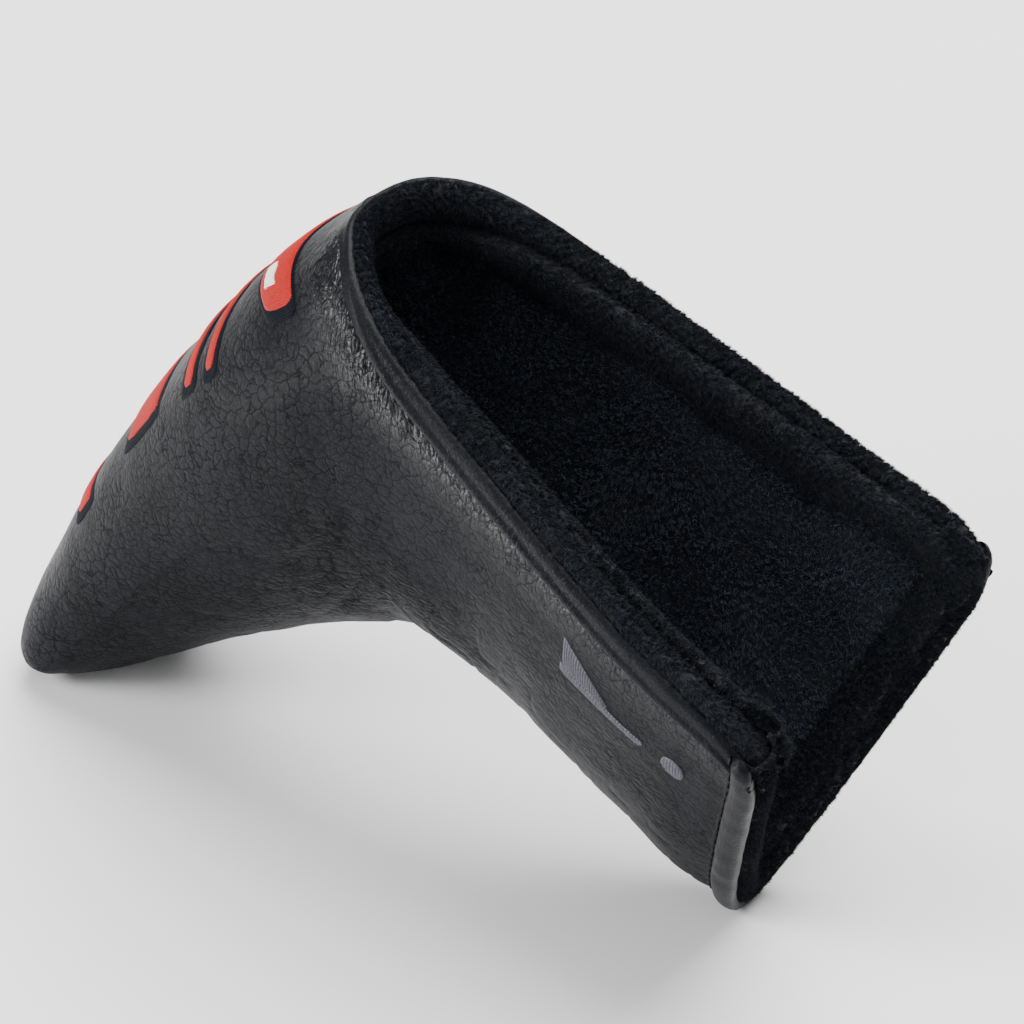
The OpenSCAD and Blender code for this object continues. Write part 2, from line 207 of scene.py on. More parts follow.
class Rim:
    """The mouth's edge on one side, from its closed end to the neck end, as points with directions."""

    def __init__(self, side, n=420, over=1.2):
        u = MOUTH + (LAST - MOUTH) * np.linspace(0, 1, 3000) ** 2
        half = np.column_stack([u, skin(u, np.ones(3000), 0, 1)])
        half[0, 2] = 0
        loop = np.vstack([half[:0:-1] * [1, 1, -1, 1], half])
        run = run_of(loop[:, 1:])
        tip = run[len(half) - 1]
        self.s = np.linspace(-over, run[-1] - tip, n)
        at = tip + self.s
        self.u = np.interp(at, run, loop[:, 0])
        self.p = np.stack([np.interp(at, run, loop[:, k]) for k in (1, 2, 3)], -1)
        ahead = [np.interp(at + 0.6, run, loop[:, k]) for k in (1, 2, 3)]
        behind = [np.interp(at - 0.6, run, loop[:, k]) for k in (1, 2, 3)]
        self.t = unit(np.stack(ahead, -1) - np.stack(behind, -1))
        self.t[-1] = self.t[-2]
        half_side = np.sign(self.p[:, 1] + 1e-9)
        self.n = unit(self._toward(0, 9, half_side))
        face = unit(self._toward(0, 0.2, half_side, square=True))
        self.d = unit(np.cross(self.t, face))
        self.p[:, 1] *= side
        for v in (self.t, self.n, self.d):
            v[:, 1] *= side

    def _toward(self, a, b, half_side, square=False):
        r = np.ones_like(self.u)
        if square:
            s = section(self.u)
            y = np.sqrt(np.maximum(swell(s, r), 0))
            v = np.concatenate([slope(self.u, r), -2 * y[:, None]], -1)
        else:
            v = layer(self.u, r, b) - layer(self.u, r, a)
        w = turn(v, 1)
        w[:, 1] *= half_side
        return w

    def sweep(self, profile):
        """Surface that carries a profile of (below the rim, into the wall) pairs along the rim."""
        b, d = np.asarray(profile, float).reshape(-1, 2).T
        return self.p[:, None] + b[None, :, None] * self.d[:, None] + d[None, :, None] * self.n[:, None]


class End:
    """The neck end on one side, from the fold up to the rim, as points with directions."""

    def __init__(self, side, n=150, over=0.8):
        r = np.concatenate([[0], np.linspace(0, 1, 2000)[1:] ** 2])
        line = np.column_stack([r, skin(np.full(2000, LAST), r, 0, 1)])
        line = evenly(line, n)
        self.r = line[:, 0]
        self.p = line[:, 1:]
        self.n = unit(turn(layer(LAST, self.r, 1) - layer(LAST, self.r, 0), 1))
        back = skin(np.full(n, LAST - 0.05), self.r, 0, 1) - self.p
        self.t = unit(np.gradient(self.p, axis=0))
        self.d = unit(back - self.t * (back * self.t).sum(-1, keepdims=True))
        up = self.t[-1] * np.linspace(0.25, over, 4)[:, None]
        self.p = np.vstack([self.p, self.p[-1] + up])
        for name in "ntd":
            v = getattr(self, name)
            setattr(self, name, np.vstack([v, np.repeat(v[-1:], 4, 0)]))
        for v in (self.p, self.n, self.t, self.d):
            v[:, 1] *= side

    sweep = Rim.sweep


# ---- noise and mesh helpers ----


def noise(p, size, seed):
    """Smooth heights from -1 to 1 for points p, with bumps about size apart (a number or one per axis)."""
    cells = np.random.default_rng(seed).random((24, 24, 24)) * 2 - 1
    q = np.asarray(p, float) / np.asarray(size, float)
    i = np.floor(q).astype(int)
    f = q - i
    f = f * f * (3 - 2 * f)
    total = np.zeros(q.shape[:-1])
    for corner in itertools.product((0, 1), repeat=3):
        c = np.array(corner)
        w = np.where(c, f, 1 - f).prod(-1)
        k = (i + c) % 24
        total += w * cells[k[..., 0], k[..., 1], k[..., 2]]
    return total


def normals_of(grid):
    """Unit normals of a grid of points."""
    a = np.gradient(grid, axis=0)
    b = np.gradient(grid, axis=1)
    return unit(np.cross(a, b))


def quads(ni, nj, first=0):
    """Faces of a grid of ni by nj points whose first point has the index first."""
    i, j = np.meshgrid(np.arange(ni - 1), np.arange(nj - 1), indexing="ij")
    a = (first + i * nj + j).ravel()
    return np.stack([a, a + nj, a + nj + 1, a + 1], -1)


def outward(grid, ref):
    """The grid, flipped if need be so that its faces look along ref."""
    n = normals_of(grid)
    return grid if (n * ref).sum() > 0 else grid[:, ::-1]


def build(name, points, faces, material, tip=None, zones=None):
    """A smooth mesh object from points in millimetres and arrays of quads or triangles.

    tip and zones are values at the points that its material reads."""
    mesh = bpy.data.meshes.new(name)
    points = np.asarray(points, np.float32) * MM
    sizes = np.concatenate([np.full(len(f), f.shape[1]) for f in faces])
    mesh.vertices.add(len(points))
    mesh.vertices.foreach_set("co", points.ravel())
    mesh.loops.add(int(sizes.sum()))
    mesh.loops.foreach_set("vertex_index", np.concatenate([f.ravel() for f in faces]).astype(np.int32))
    mesh.polygons.add(len(sizes))
    mesh.polygons.foreach_set("loop_start", np.concatenate([[0], np.cumsum(sizes)[:-1]]).astype(np.int32))
    mesh.polygons.foreach_set("use_smooth", np.ones(len(sizes), bool))
    if tip is not None:
        mesh.attributes.new("tip", "FLOAT", "POINT").data.foreach_set("value", np.asarray(tip, np.float32))
    for key, rows in (zones or {}).items():
        mesh.attributes.new(key, "FLOAT_VECTOR", "POINT").data.foreach_set(
            "vector", np.asarray(rows, np.float32).ravel())
    mesh.materials.append(material)
    mesh.update(calc_edges=True)
    obj = bpy.data.objects.new(name, mesh)
    bpy.context.scene.collection.objects.link(obj)
    return obj


def of_grid(name, grid, ref, material):
    """A mesh object from a grid of points that faces along ref."""
    grid = outward(soften(grid), ref)
    return build(name, grid.reshape(-1, 3), [quads(*grid.shape[:2])], material)


def resample(grid, ni, nj):
    """The grid of values with ni rows and nj columns, in straight lines between the old ones."""
    for axis, n in ((0, ni), (1, nj)):
        grid = np.moveaxis(grid, axis, 0)
        at = np.linspace(0, len(grid) - 1, n)
        i = np.minimum(at.astype(int), len(grid) - 2)
        f = (at - i).reshape((-1,) + (1,) * (grid.ndim - 1))
        grid = np.moveaxis(grid[i] * (1 - f) + grid[i + 1] * f, 0, axis)
    return grid


def settle(grid, spare, most, bend):
    """Cloth simulation of a sheet cut a share larger than its frame and held at its edges.

    Gives how far each point of the grid moves along the normal, never more than most millimetres.
    It runs on a coarse copy, ten times as large as life."""
    ni, nj, frames = 120, 60, 30
    coarse = resample(grid, ni, nj)
    obj = build("settling", coarse.reshape(-1, 3) * 10, [quads(ni, nj)], bpy.data.materials["leather"])
    held = np.zeros((ni, nj), bool)
    held[[0, -1]] = held[:, [0, -1]] = True
    held |= np.linalg.norm(np.gradient(coarse, axis=0), axis=-1) < 0.4
    obj.vertex_groups.new(name="held").add([int(k) for k in np.nonzero(held.ravel())[0]], 1.0, "REPLACE")
    cloth = obj.modifiers.new("cloth", "CLOTH").settings
    cloth.vertex_group_mass = "held"
    cloth.quality = 6
    cloth.mass = 0.25
    cloth.tension_stiffness = cloth.compression_stiffness = 18
    cloth.shear_stiffness = 8
    cloth.bending_stiffness = bend
    cloth.shrink_min = cloth.shrink_max = -spare
    cloth.effector_weights.gravity = 0.3
    obj.modifiers["cloth"].point_cache.frame_end = frames
    scene = bpy.context.scene
    for k in range(1, frames + 1):
        scene.frame_set(k)
    done = obj.evaluated_get(bpy.context.evaluated_depsgraph_get()).to_mesh()
    moved = np.empty(ni * nj * 3, np.float32)
    done.vertices.foreach_get("co", moved)
    mesh = obj.data
    bpy.data.objects.remove(obj)
    bpy.data.meshes.remove(mesh)
    scene.frame_set(1)
    shift = moved.reshape(ni, nj, 3) / (10 * MM) - coarse
    along = np.nan_to_num((shift * normals_of(coarse)).sum(-1))
    along[held] = 0
    for _ in range(10):
        along[1:-1] = (along[:-2] + 2 * along[1:-1] + along[2:]) / 4
        along[:, 1:-1] = (along[:, :-2] + 2 * along[:, 1:-1] + along[:, 2:]) / 4
    return most * np.tanh(resample(along, *grid.shape[:2]) / most)


def plush(name, grid, material, density, length, width, seed, lean, clump, flow):
    """A surface covered with short pile: blades gather into pointed tufts clump millimetres wide.

    There are density blades to a square millimetre, and they lean with the grid's rows and columns by the
    amounts in flow."""
    rng = np.random.default_rng(seed)
    grid = soften(grid)
    n = normals_of(grid)
    a, b = grid[1:, 1:] - grid[:-1, :-1], grid[1:, :-1] - grid[:-1, 1:]
    area = np.linalg.norm(np.cross(a, b), axis=-1).ravel() / 2
    tufts = int(area.sum() / clump**2 * 1.6)
    each = max(1, round(area.sum() * density / max(tufts, 1)))
    cell = rng.choice(area.size, tufts, p=area / area.sum())
    i, j = np.divmod(cell, grid.shape[1] - 1)
    f, g = rng.random((2, tufts, 1))

    def at(v):
        low = v[i, j] * (1 - g) + v[i, j + 1] * g
        return low * (1 - f) + (v[i + 1, j] * (1 - g) + v[i + 1, j + 1] * g) * f

    heart, up = at(grid), unit(at(n))
    brushed = np.stack([noise(heart, 12, seed + k) for k in (1, 2, 3)], -1) * 1.3
    for axis in (0, 1):
        brushed += flow[axis] * unit(at(np.gradient(grid, axis=axis)))
    way = brushed + rng.normal(0, 0.28, (tufts, 3))
    way = unit(up + (way - up * (way * up).sum(-1, keepdims=True)) * lean)
    long = length * rng.uniform(0.8, 1.2, (tufts, 1)) * (1 + 0.2 * noise(heart, 5, seed + 9)[:, None])
    heart, up, way, long = (np.repeat(v, each, 0) for v in (heart, up, way, long))
    count = tufts * each
    spread = rng.normal(0, clump * 0.42, (count, 3))
    spread -= up * (spread * up).sum(-1, keepdims=True)
    root = heart + spread - up * 0.12
    end = heart + spread * 0.45 + way * long * rng.uniform(0.7, 1.05, (count, 1))
    end += rng.normal(0, 0.07, (count, 3))
    across = unit(np.cross(end - root, rng.normal(size=(count, 3))))
    blade = np.stack([root - across * width / 2, root + across * width / 2, end], 1)
    under = grid.reshape(-1, 3)
    k = len(under) + 3 * np.arange(count)
    tips = np.concatenate([np.zeros(len(under)), np.tile([0.0, 0.0, 1.0], count)])
    faces = [quads(*grid.shape[:2]), np.stack([k, k + 1, k + 2], -1)]
    return build(name, np.vstack([under, blade.reshape(-1, 3)]), faces, material, tips)


def rounded(frames, profile, centre, end):
    """Sweep of a profile along frames, closed towards centre in the last end millimetres."""
    grid = frames.sweep(profile)
    core = frames.sweep([centre])
    run = run_of(frames.p)
    k = np.sqrt(1 - np.clip(1 - (run[-1] - run) / end, 0, 1) ** 2)
    return core + (grid - core) * k[:, None, None]


# ---- materials ----


def nodes_of(name):
    """A new material with its node tree, its shader and a function that adds and links nodes."""
    mat = bpy.data.materials.new(name)
    mat.use_nodes = True
    tree = mat.node_tree
    shader = tree.nodes["Principled BSDF"]
    place = tree.nodes.new("ShaderNodeTexCoord").outputs["Object"]

    def add(kind, inputs=(), **settings):
        node = tree.nodes.new(kind)
        for key, value in settings.items():
            setattr(node, key, value)
        for key, value in dict(inputs).items():
            if isinstance(value, bpy.types.NodeSocket):
                tree.links.new(value, node.inputs[key])
            else:
                node.inputs[key].default_value = value
        return node

    return mat, tree, shader, place, add


def ramp(add, value, stops):
    """A colour for each value from 0 to 1, by stops of (value, colour)."""
    node = add("ShaderNodeValToRGB", {"Fac": value})
    while len(node.color_ramp.elements) < len(stops):
        node.color_ramp.elements.new(0.5)
    for element, (at, colour) in zip(node.color_ramp.elements, stops):
        element.position = at
        element.color = (*colour, 1)
    return node.outputs["Color"]


def leather_material(name, tone, rough, shine, cell=1.0, depth=1.0):
    """Black leather: fine cells all over, with creases across the rim and along the bend where zones say so.

    cell is the size of its pattern and depth the height, against the main leather's."""
    mat, tree, shader, place, add = nodes_of(name)

    def maths(kind, *values):
        return add("ShaderNodeMath", dict(enumerate(values)), operation=kind).outputs[0]

    def cells(vector, scale, *lines):
        """0 in the creases between cells of a pattern, 1 on the cells, once for each width of crease."""
        edge = add("ShaderNodeTexVoronoi", {"Vector": vector, "Scale": scale / cell},
                   feature="DISTANCE_TO_EDGE")
        return [add("ShaderNodeMapRange", {"Value": edge.outputs["Distance"], "From Max": line},
                    interpolation_type="SMOOTHSTEP").outputs[0] for line in lines]

    def weaker(pattern, weight):
        """The pattern with creases that are only weight deep."""
        return maths("SUBTRACT", 1.0, maths("MULTIPLY", maths("SUBTRACT", 1.0, pattern), weight))

    bend = add("ShaderNodeTexNoise", {"Vector": place, "Scale": 600, "Detail": 2})
    offset = add("ShaderNodeVectorMath", {0: bend.outputs["Color"], 1: (0.5, 0.5, 0.5)}, operation="SUBTRACT")
    scaled = add("ShaderNodeVectorMath", {0: offset.outputs[0], "Scale": 0.0014}, operation="SCALE")
    moved = add("ShaderNodeVectorMath", {0: place, 1: scaled.outputs[0]}, operation="ADD").outputs[0]
    wide = add("ShaderNodeTexNoise", {"Vector": place, "Scale": 55, "Detail": 3}).outputs["Fac"]
    patches = add("ShaderNodeTexNoise", {"Vector": place, "Scale": 130, "Detail": 2}).outputs["Fac"]
    some = add("ShaderNodeMapRange", {"Value": patches, "From Min": 0.38, "From Max": 0.62}).outputs[0]
    pores = add("ShaderNodeTexNoise", {"Vector": place, "Scale": 3600, "Detail": 3}).outputs["Fac"]
    flow = add("ShaderNodeAttribute", attribute_name="flow").outputs["Vector"]
    drift = add("ShaderNodeVectorMath", {0: offset.outputs[0], "Scale": 1.1}, operation="SCALE")
    flow = add("ShaderNodeVectorMath", {0: flow, 1: drift.outputs[0]}, operation="ADD").outputs[0]
    where = add("ShaderNodeSeparateXYZ", {"Vector": add(
        "ShaderNodeAttribute", attribute_name="zones").outputs["Vector"]})
    at_rim, at_bend = where.outputs["X"], where.outputs["Y"]
    rim_way = add("ShaderNodeVectorMath", {0: flow, 1: (0.85, 0.42, 0)}, operation="MULTIPLY").outputs[0]
    bend_way = add("ShaderNodeVectorMath", {0: flow, 1: (0.12, 0.55, 0)}, operation="MULTIPLY").outputs[0]
    fold, mound = cells(moved, 480, 0.085, 0.4)
    pebble, grain = cells(moved, 950, 0.13, 0.45)
    across, pleat = cells(rim_way, 1.0, 0.08, 0.4)
    down, furrow = cells(bend_way, 1.0, 0.12, 0.4)
    large = weaker(fold, maths("MULTIPLY_ADD", some, 0.3 * depth, 0.45 * depth))
    small = weaker(pebble, maths("MULTIPLY_ADD", some, -0.3, 0.75))
    crossing = weaker(across, maths("MULTIPLY", at_rim, 0.9))
    along = weaker(down, maths("MULTIPLY", at_bend, 0.7))
    height = maths("MULTIPLY", grain, 0.03)
    for pattern, high in (
        (cells(moved, 1900, 0.5)[0], 0.018),
        (pores, 0.012),
        (large, 0.035),
        (weaker(mound, maths("MULTIPLY_ADD", some, 0.6, 0.3)), 0.06),
        (weaker(pleat, at_rim), 0.12),
        (weaker(furrow, at_bend), 0.045),
    ):
        height = maths("MULTIPLY_ADD", pattern, high, height)
    bump = add("ShaderNodeBump", {"Height": height, "Strength": 1.0, "Distance": MM * depth})
    tree.links.new(bump.outputs[0], shader.inputs["Normal"])
    # Painted shade: along the crease lines the base colour falls to 0.3 of the tone and the specular level
    # drops too.
    creases = maths("MULTIPLY", maths("MULTIPLY", large, crossing), along)
    creases = maths("MULTIPLY", creases, maths("MULTIPLY_ADD", small, 0.6, 0.4))
    dark, low, high = [tuple(c * k for c in tone) for k in (0.3, 0.8, 1.25)]
    worn = ramp(add, wide, [(0.3, low), (0.7, high)])
    hue = add("ShaderNodeMix", {"Factor": creases, "A": dark + (1,), "B": worn}, data_type="RGBA")
    tree.links.new(hue.outputs["Result"], shader.inputs["Base Color"])
    gloss = add("ShaderNodeMapRange", {"Value": wide, "From Min": 0.3, "From Max": 0.7,
                                       "To Min": rough - 0.03, "To Max": rough + 0.08})
    tree.links.new(maths("MULTIPLY_ADD", at_rim, -0.14, gloss.outputs[0]), shader.inputs["Roughness"])
    rubbed = maths("MULTIPLY_ADD", at_rim, shine * 4.5, shine)
    spec = maths("MULTIPLY", rubbed, maths("MULTIPLY_ADD", creases, 0.9, 0.1))
    tree.links.new(spec, shader.inputs["Specular IOR Level"])
    return mat


def plush_material(name, dark, light, sheen):
    """Short pile: dark at the root, lighter at the tip, brushed in patches."""
    mat, tree, shader, place, add = nodes_of(name)
    tip = add("ShaderNodeAttribute", attribute_name="tip")
    patches = add("ShaderNodeTexNoise", {"Vector": place, "Scale": 120, "Detail": 3})
    tufts = add("ShaderNodeTexNoise", {"Vector": place, "Scale": 1400, "Detail": 2})
    shade = ramp(add, patches.outputs["Fac"], [(0.35, dark), (0.68, light)])
    root = tuple(c * 0.6 for c in dark) + (1,)
    hue = add("ShaderNodeMix", {"Factor": tip.outputs["Fac"], "A": root, "B": shade}, data_type="RGBA")
    tree.links.new(hue.outputs["Result"], shader.inputs["Base Color"])
    bump = add("ShaderNodeBump", {"Height": tufts.outputs["Fac"], "Strength": 0.8, "Distance": 0.0005})
    tree.links.new(bump.outputs[0], shader.inputs["Normal"])
    shader.inputs["Roughness"].default_value = 0.85
    shader.inputs["Specular IOR Level"].default_value = 0.25
    shader.inputs["Sheen Weight"].default_value = sheen
    shader.inputs["Sheen Roughness"].default_value = 0.45
    shader.inputs["Sheen Tint"].default_value = (0.45, 0.55, 0.75, 1)
    return mat


def thread_material(name, colour, shine=0.18):
    """Satin-stitch thread: a soft shine with small changes of tone from strand to strand."""
    mat, tree, shader, place, add = nodes_of(name)
    strands = add("ShaderNodeTexNoise", {"Vector": place, "Scale": 2600, "Detail": 2})
    tone = ramp(add, strands.outputs["Fac"], [(0.35, tuple(c * 0.72 for c in colour)), (0.65, colour)])
    tree.links.new(tone, shader.inputs["Base Color"])
    bump = add("ShaderNodeBump", {"Height": strands.outputs["Fac"], "Strength": 0.35, "Distance": 0.00012})
    tree.links.new(bump.outputs[0], shader.inputs["Normal"])
    shader.inputs["Roughness"].default_value = 0.55
    shader.inputs["Specular IOR Level"].default_value = shine
    return mat


def foam_material():
    """Grey open-cell foam."""
    mat, tree, shader, place, add = nodes_of("foam")
    cells = add("ShaderNodeTexVoronoi", {"Vector": place, "Scale": 2200})
    tone = ramp(add, cells.outputs["Distance"], [(0.1, (0.16, 0.17, 0.18)), (0.6, (0.36, 0.37, 0.38))])
    tree.links.new(tone, shader.inputs["Base Color"])
    bump = add("ShaderNodeBump", {"Height": cells.outputs["Distance"], "Strength": 0.7, "Distance": 0.0003})
    tree.links.new(bump.outputs[0], shader.inputs["Normal"])
    shader.inputs["Roughness"].default_value = 0.95
    return mat


def metal_material():
    """Nickel plate with fine scratches."""
    mat, tree, shader, place, add = nodes_of("nickel")
    scratch = add("ShaderNodeTexNoise", {"Vector": place, "Scale": 900, "Detail": 5})
    gloss = add("ShaderNodeMapRange", {"Value": scratch.outputs["Fac"], "To Min": 0.12, "To Max": 0.4})
    tree.links.new(gloss.outputs[0], shader.inputs["Roughness"])
    shader.inputs["Metallic"].default_value = 1
    shader.inputs["Base Color"].default_value = (0.62, 0.6, 0.56, 1)
    return mat


def floor_material():
    """Plain pale floor."""
    mat, _, shader, _, _ = nodes_of("floor")
    shader.inputs["Base Color"].default_value = (0.9, 0.9, 0.9, 1)
    shader.inputs["Roughness"].default_value = 0.9
    shader.inputs["Specular IOR Level"].default_value = 0.1
    return mat


# ---- camera, floor and light ----


def camera():
    """The camera, at the photograph's angle."""
    cam = bpy.data.objects.new("camera", bpy.data.cameras.new("camera"))
    bpy.context.scene.collection.objects.link(cam)
    cam.data.lens = 209
    cam.data.sensor_width = 36
    cam.data.clip_start, cam.data.clip_end = 0.1, 20
    cam.location = (0.4816, -0.6723, 0.614)
    aim = Vector((0.0108, 0, 0.0604)) - cam.location
    cam.rotation_euler = aim.to_track_quat("-Z", "Y").to_euler()
    bpy.context.scene.camera = cam


def lamp(name, place, target, size, power):
    """An oblong soft lamp that points at target and isn't seen itself."""
    data = bpy.data.lights.new(name, "AREA")
    data.shape, data.size, data.size_y = "RECTANGLE", size[0], size[1]
    data.energy = power
    obj = bpy.data.objects.new(name, data)
    obj.location = place
    obj.rotation_euler = (Vector(target) - Vector(place)).to_track_quat("-Z", "Y").to_euler()
    obj.visible_camera = False
    bpy.context.scene.collection.objects.link(obj)


def studio():
    """Even surroundings, the floor, a large lamp above and small ones that draw the gloss along the rim."""
    world = bpy.data.worlds.new("studio")
    world.use_nodes = True
    world.node_tree.nodes["Background"].inputs["Color"].default_value = (1, 1, 1, 1)
    world.node_tree.nodes["Background"].inputs["Strength"].default_value = 0.22
    bpy.context.scene.world = world
    mesh = bpy.data.meshes.new("floor")
    mesh.from_pydata([(-4, -4, 0), (4, -4, 0), (4, 4, 0), (-4, 4, 0)], [], [(0, 1, 2, 3)])
    mesh.materials.append(floor_material())
    floor = bpy.data.objects.new("floor", mesh)
    bpy.context.scene.collection.objects.link(floor)
    lamp("top", (0.0, 0.5, 1.15), (0, 0, 0), (1.3, 1.3), 48)
    lamp("fill", (0.5, -0.45, 1.1), (0, 0, 0), (0.8, 0.8), 4)
    lamp("key", (-0.57, -0.68, 0.56), (0, 0, 0.07), (0.45, 0.34), 11)
    lamp("low", (-0.27, -0.36, 0.035), (0.03, 0, 0.08), (0.22, 0.05), 1.3)


# ---- leather ----

SPARE = 0.015  # how much larger than its frame the simulated leather is cut
MOST = 0.3  # how far it may move, in millimetres


def toward_neck(u):
    """0 at the mouth's closed end, 1 along the neck."""
    return smooth((u - MOUTH - 0.15) / 1.3)


def roll_edge(u):
    """How far below the rim the leather meets its rolled edge."""
    return 2.8 + 2.2 * toward_neck(u)


def rows_between(u1, u2, n):
    """Sections from u1 to u2, closer together where the mouth's closed end is."""
    u = np.linspace(u1, u2, 4000)
    fold, outer = section(u)[:, 0:2], section(u)[:, 2:4]
    pace = sum(np.linalg.norm(np.gradient(line, axis=0), axis=1) for line in (outer, fold))
    pace *= 1 + 5 * np.exp(-(((u - MOUTH + 0.1) / 0.22) ** 2))
    run = np.concatenate([[0], np.cumsum(pace[1:])])
    return np.interp(np.linspace(0, run[-1], n), run, u)


def to_rim(points, rim):
    """Distance of each point to the mouth's edge."""
    line = rim.p[rim.s >= 0] * [1, np.sign(rim.p[-1, 1]), 1]
    line = np.vstack([line[::-1] * [1, -1, 1], line])[::3]
    flat = points.reshape(-1, 3)
    best = np.concatenate([
        np.sqrt(((part[:, None] - line[None]) ** 2).sum(-1).min(1)) for part in np.array_split(flat, 60)
    ])
    return best.reshape(points.shape[:-1])


def shares(rows, n, rim, edge, depth=0.0):
    """For each section, n shares from the fold to edge millimetres below the rim, evenly spaced."""
    edge = np.broadcast_to(edge, rows.shape)
    fine = (1 - np.cos(np.linspace(0, math.pi, 300))) / 2
    u = np.broadcast_to(rows[:, None], (len(rows), 300))
    r = np.broadcast_to(fine, u.shape)
    v = layer(u, r, depth)
    start = np.where(v[..., 2] > 0, r, 2).min(1) if depth > 4 else np.zeros(len(rows))
    v[..., 2] = np.maximum(v[..., 2], 0)
    away = np.full(u.shape, 99.0)
    high = rows > 4
    away[high, 100:] = to_rim(skin(u[high, 100:], r[high, 100:], 0, 1), rim)
    made = np.empty((len(rows), n))
    for k in range(len(rows)):
        stop = 1.0
        if away[k, -1] < edge[k] and rows[k] > 4:
            far = int(np.max(np.nonzero(away[k] >= edge[k])[0]))
            stop = np.interp(edge[k], [away[k, far + 1], away[k, far]], [fine[far + 1], fine[far]])
        run = run_of(v[k])
        a, b = np.interp([start[k], stop], fine, run)
        made[k] = np.interp(np.linspace(a, b, n), run, fine)
    return made


def ridges(p, size, seed, width):
    """Thin branching lines, 1 at their middle, across a field of noise."""
    return np.clip(1 - np.abs(noise(p, size, seed)) / width, 0, 1)


def zones_of(u, r, gap):
    """How strongly the leather creases across the rim and along the inner bend."""
    at_rim = np.exp(-((gap / 10) ** 3)) * smooth((u - 4.6) / 1.2)
    at_bend = np.exp(-(((u - 5.4) / 1.5) ** 2)) * smooth(1.35 - 1.9 * r) + 0.55 * smooth(1.15 - 1.7 * r)
    return np.stack([at_rim, np.clip(at_bend, 0, 1), 0 * u], -1)


def wrinkles(p, u, r, gap, zones):
    """Height of the leather's creases and soft lumps above its mean face."""
    h = 0.2 * noise(p, 17, 1) + 0.14 * noise(p, 7, 2) + 0.06 * noise(p, 3.2, 3)
    x, y, z = np.moveaxis(p, -1, 0)
    along = np.stack([x * 0.89 - z * 0.45, x * 0.45 + z * 0.89, y], -1)
    h -= 0.3 * zones[..., 1] * ridges(along, (4.5, 15, 9), 4, 0.22)
    h -= 0.2 * zones[..., 0] * smooth((gap - 4) / 2) * ridges(along, (2.4, 6, 6), 5, 0.25)
    # Near the rim the face dips towards the rolled edge.
    drop = 0.55 + 0.8 * toward_neck(u) + 0.65 * smooth((u - 6.6) / 0.8)
    h -= drop * np.clip((roll_edge(u) + 6.5 - gap) / 6.5, 0, 1) ** 2
    # The fold puffs out beside the hem's stitches.
    puff = np.exp(-(((u - 8.52) / 0.22) ** 2)) * np.clip(1 - r * 2.2, 0, 1)
    return h + 0.9 * puff


def arcs(grid):
    """Millimetres along the rows and along the columns, for patterns that follow them."""
    ahead = np.linalg.norm(np.diff(grid, axis=0), axis=-1)
    ahead = np.vstack([0 * ahead[:1], ahead]).cumsum(0)
    across = np.linalg.norm(np.diff(grid, axis=1), axis=-1)
    across = np.hstack([0 * across[:, :1], across]).cumsum(1)
    return np.stack([ahead * 0.35 + ahead.max(1, keepdims=True) * 0.65, across, 0 * across], -1)


def leather(name, rim, mat):
    """One side's leather, from the fold to the rolled edge, with a narrow lap under the other side's."""
    side = SIDES[name]
    rows = rows_between(0.02, HEM + 0.03, 430)
    r = shares(rows, 170, rim, roll_edge(rows))
    u = np.broadcast_to(rows[:, None], r.shape)
    face = skin(u, r, 0, side)
    gap = to_rim(face * [1, side, 1], rim)
    out = out_of(u, r, side)
    zones = zones_of(u, r, gap)
    h = wrinkles(face, u, r, gap, zones) - 0.35 * smooth((u - HEM + 0.1) / 0.1)
    # The leather can't lift along the fold, under the sole's embroidery or round the mark.
    free = smooth(r / 0.06) * (1 - smooth((r - 0.7) / 0.12) * smooth((5.7 - u) / 0.3))
    free *= 1 - 0.9 * np.exp(-(((u - 8.2) / 0.45) ** 2) - ((r - 0.7) / 0.14) ** 2)
    h = h + settle(face * [1, side, 1], SPARE, MOST, bend=1.5) * free
    grid = face + out * h[..., None]
    grid[..., 2] = np.maximum(grid[..., 2], 0)
    grid[:, 0, 1] = 0
    closed = r[:, -1] > 0.9999
    grid[closed, -1, 1] = 0
    lap = grid[:, 1] * [1, -1, 1] - out[:, 0] * 0.12
    tuck = grid[:, -1] - out[:, -1] * 1.2
    tuck[closed] = (grid[:, -2] * [1, -1, 1] - out[:, -1] * 0.12)[closed]
    grid = np.concatenate([lap[:, None], grid, tuck[:, None]], 1)
    ref = np.concatenate([out[:, :1], out, out[:, -1:]], 1)
    zones = np.concatenate([zones[:, :1], zones, zones[:, -1:]], 1)
    flow = arcs(grid)
    if (normals_of(grid) * ref).sum() < 0:
        grid, zones, flow = grid[:, ::-1], zones[:, ::-1], flow[:, ::-1]
    piece = build(f"leather_{name}", soften(grid).reshape(-1, 3), [quads(*grid.shape[:2])], mat,
                  zones={"zones": zones, "flow": flow})
    return piece


# Profiles of the rolled edge, (below the rim, into the wall): at the mouth's closed end and along the neck.
TIGHT = [(6.0, 1.6), (5.0, 1.1), (4.0, 0.7), (3.2, 0.4), (2.7, 0.3), (2.3, 0.15), (1.9, -0.05), (1.5, -0.1),
         (1.1, 0.05), (0.8, 0.35), (0.6, 0.7), (0.5, 1.0), (0.5, 1.5), (0.6, 2.1), (0.9, 2.7), (1.6, 3.3)]
WIDE = [(6.0, 2.6), (5.4, 1.7), (4.95, 1.1), (4.7, 0.55), (4.45, 0.05), (4.1, -0.35), (3.65, -0.45),
        (3.2, -0.25), (2.9, 0.15), (2.6, 0.42), (2.1, 0.6), (1.5, 0.9), (1.0, 1.4), (0.75, 2.1), (0.9, 2.8),
        (1.6, 3.4)]


